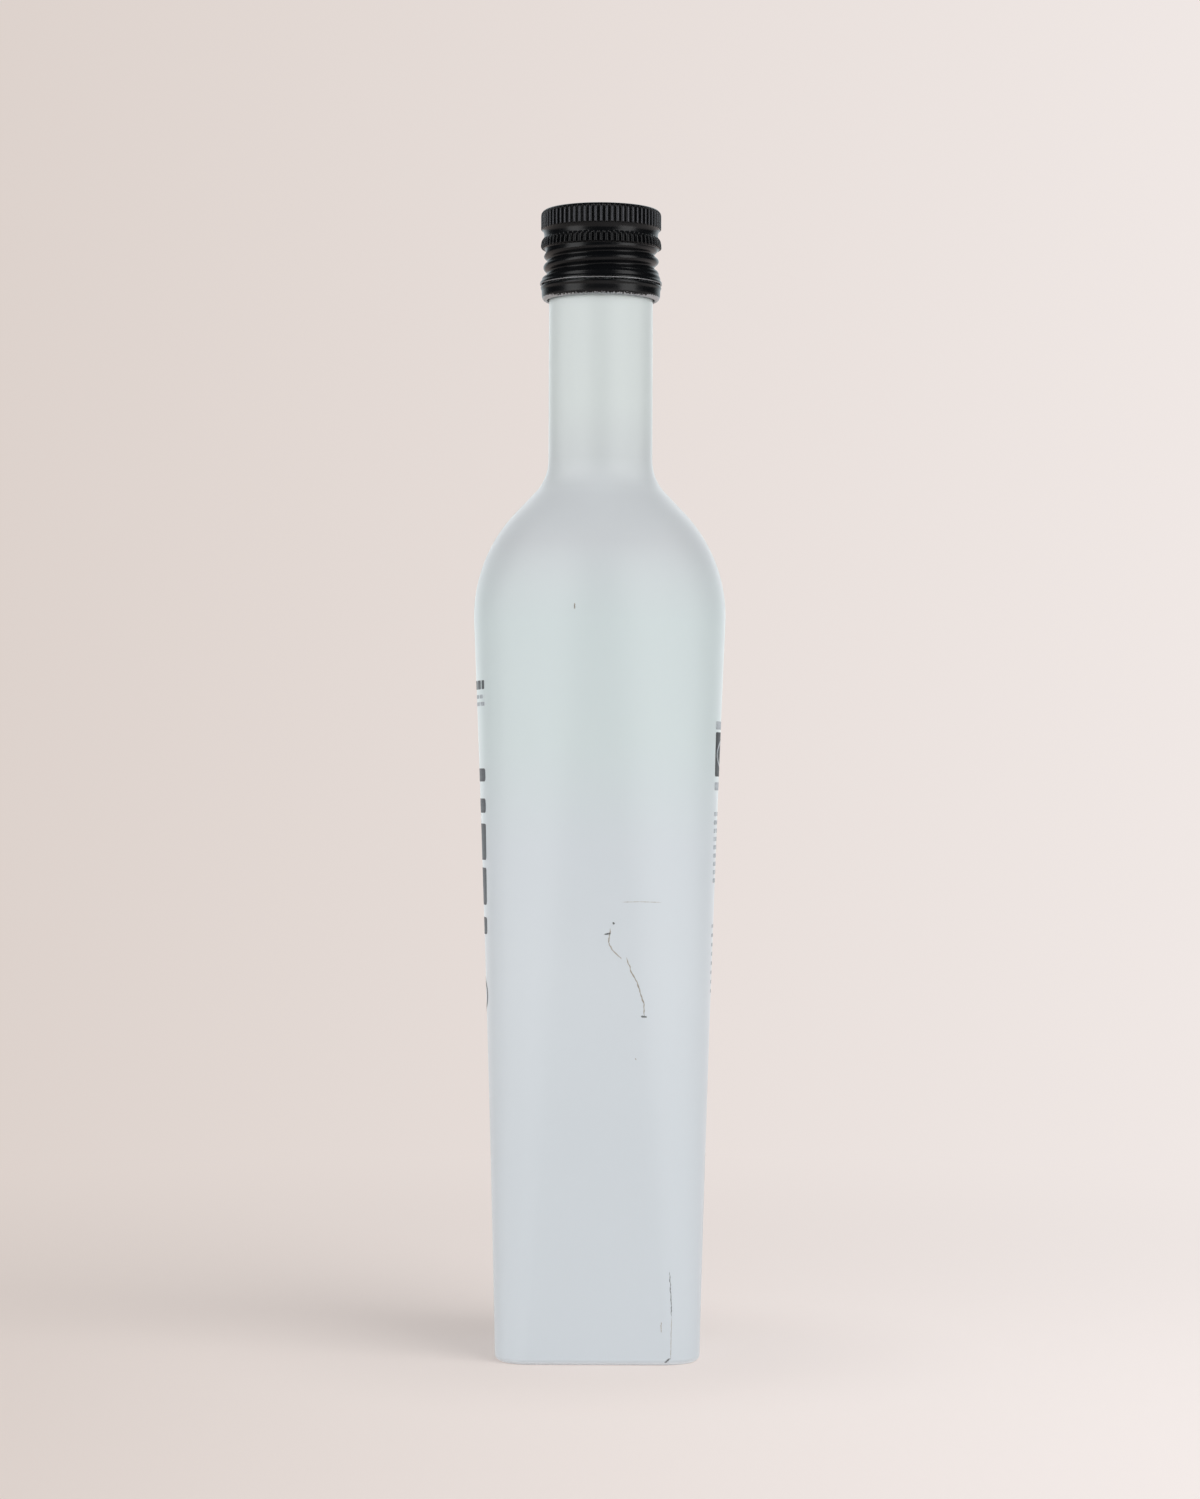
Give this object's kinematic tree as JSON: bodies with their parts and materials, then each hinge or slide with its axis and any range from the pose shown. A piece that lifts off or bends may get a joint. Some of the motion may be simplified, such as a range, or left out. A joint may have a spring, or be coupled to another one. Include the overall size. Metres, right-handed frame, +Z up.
{
  "type": "oil bottle",
  "caption": "Tall square-based bottle of coated glass that rounds out to a soft shoulder and a slim neck, closed by a knurled screw cap with its tamper ring.",
  "frame": {"origin": "centre of the base, on the surface the bottle stands on", "axes": "+Z up along the bottle's axis, -Y the front, the four flats facing +X, -X, +Y and -Y"},
  "size_m": [0.0658, 0.0658, 0.2985],
  "materials": {
    "coated_glass": "satin",
    "cap_lacquer": "satin",
    "ring_lacquer": "satin"
  },
  "bodies": {
    "root": {"bottle": "coated_glass", "cap": "cap_lacquer", "tamper_ring": "ring_lacquer"}
  },
  "joints": []
}
